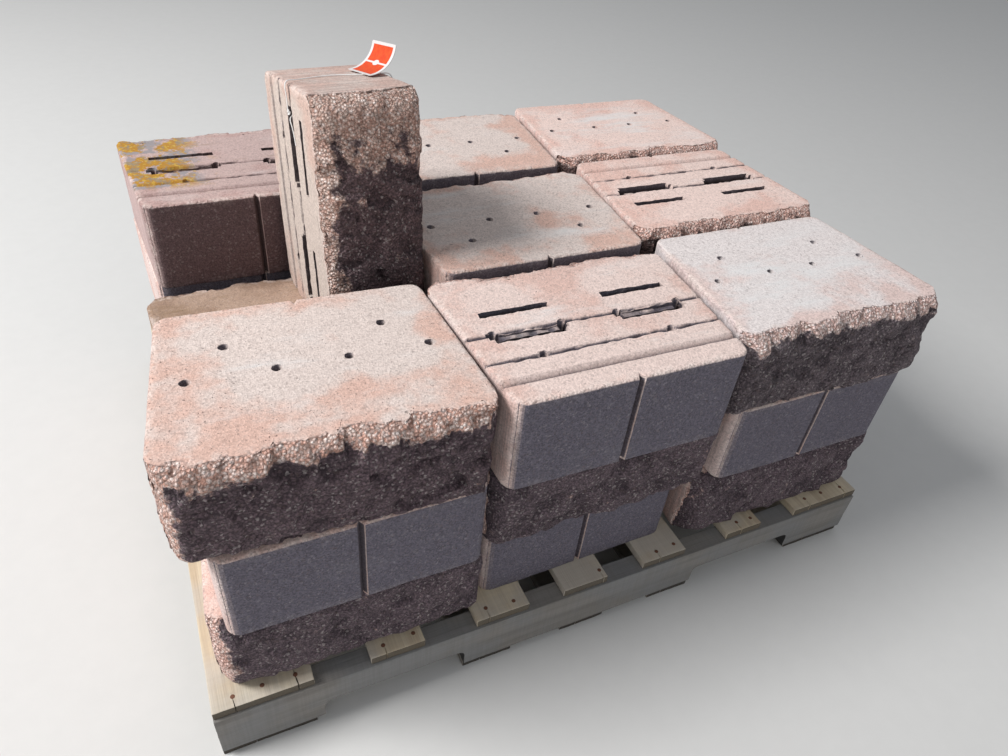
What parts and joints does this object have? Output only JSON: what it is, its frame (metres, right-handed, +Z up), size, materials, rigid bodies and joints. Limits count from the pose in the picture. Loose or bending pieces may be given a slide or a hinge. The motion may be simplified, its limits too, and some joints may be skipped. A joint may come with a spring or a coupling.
{
  "type": "pallet of concrete blocks",
  "caption": "Wooden notched-stringer pallet loaded with split-face concrete wall blocks stacked dry in layers, with one block stood on end holding a string and a tag.",
  "frame": {"origin": "on the floor under the centre of the pallet", "axes": "+X along the pallet's stringers, +Y from its front long side to its back, +Z up"},
  "size_m": [1.2207, 1.0239, 0.8437],
  "materials": {
    "concrete_bottom_back_centre": "rough",
    "concrete_bottom_back_left": "rough",
    "concrete_bottom_back_right": "rough",
    "concrete_bottom_front_centre": "rough",
    "concrete_bottom_front_left": "rough",
    "concrete_bottom_front_right": "rough",
    "concrete_bottom_mid_centre": "rough",
    "concrete_bottom_mid_left": "rough",
    "concrete_bottom_mid_right": "rough",
    "concrete_middle_back_centre": "rough",
    "concrete_middle_back_left": "rough",
    "concrete_middle_back_right": "rough",
    "concrete_middle_front_centre": "rough",
    "concrete_middle_front_left": "rough",
    "concrete_middle_front_right": "rough",
    "concrete_middle_mid_centre": "rough",
    "concrete_middle_mid_left": "rough",
    "concrete_middle_mid_right": "rough",
    "concrete_standing": "rough",
    "concrete_top_back_centre": "rough",
    "concrete_top_back_left": "rough",
    "concrete_top_back_right": "rough",
    "concrete_top_front_centre": "rough",
    "concrete_top_front_left": "rough",
    "concrete_top_front_right": "rough",
    "concrete_top_mid_centre": "rough",
    "concrete_top_mid_right": "rough",
    "bottom_wood": "weathered",
    "deck_wood": "weathered",
    "tag_plastic": "matt",
    "stringer_wood": "weathered",
    "string": "matt"
  },
  "bodies": {
    "root": {"block_bottom_back_centre": "concrete_bottom_back_centre", "block_bottom_back_left": "concrete_bottom_back_left", "block_bottom_back_right": "concrete_bottom_back_right", "block_bottom_front_centre": "concrete_bottom_front_centre", "block_bottom_front_left": "concrete_bottom_front_left", "block_bottom_front_right": "concrete_bottom_front_right", "block_bottom_mid_centre": "concrete_bottom_mid_centre", "block_bottom_mid_left": "concrete_bottom_mid_left", "block_bottom_mid_right": "concrete_bottom_mid_right", "block_middle_back_centre": "concrete_middle_back_centre", "block_middle_back_left": "concrete_middle_back_left", "block_middle_back_right": "concrete_middle_back_right", "block_middle_front_centre": "concrete_middle_front_centre", "block_middle_front_left": "concrete_middle_front_left", "block_middle_front_right": "concrete_middle_front_right", "block_middle_mid_centre": "concrete_middle_mid_centre", "block_middle_mid_left": "concrete_middle_mid_left", "block_middle_mid_right": "concrete_middle_mid_right", "block_standing": "concrete_standing", "block_top_back_centre": "concrete_top_back_centre", "block_top_back_left": "concrete_top_back_left", "block_top_back_right": "concrete_top_back_right", "block_top_front_centre": "concrete_top_front_centre", "block_top_front_left": "concrete_top_front_left", "block_top_front_right": "concrete_top_front_right", "block_top_mid_centre": "concrete_top_mid_centre", "block_top_mid_right": "concrete_top_mid_right", "bottom_board_1": "bottom_wood", "bottom_board_2": "bottom_wood", "bottom_board_3": "bottom_wood", "bottom_board_4": "bottom_wood", "bottom_board_5": "bottom_wood", "deck_board_1": "deck_wood", "deck_board_2": "deck_wood", "deck_board_3": "deck_wood", "deck_board_4": "deck_wood", "deck_board_5": "deck_wood", "deck_board_6": "deck_wood", "deck_board_7": "deck_wood", "hang_tag": "tag_plastic", "stringer_back": "stringer_wood", "stringer_centre": "stringer_wood", "stringer_front": "stringer_wood", "tag_string": "string"}
  },
  "joints": []
}
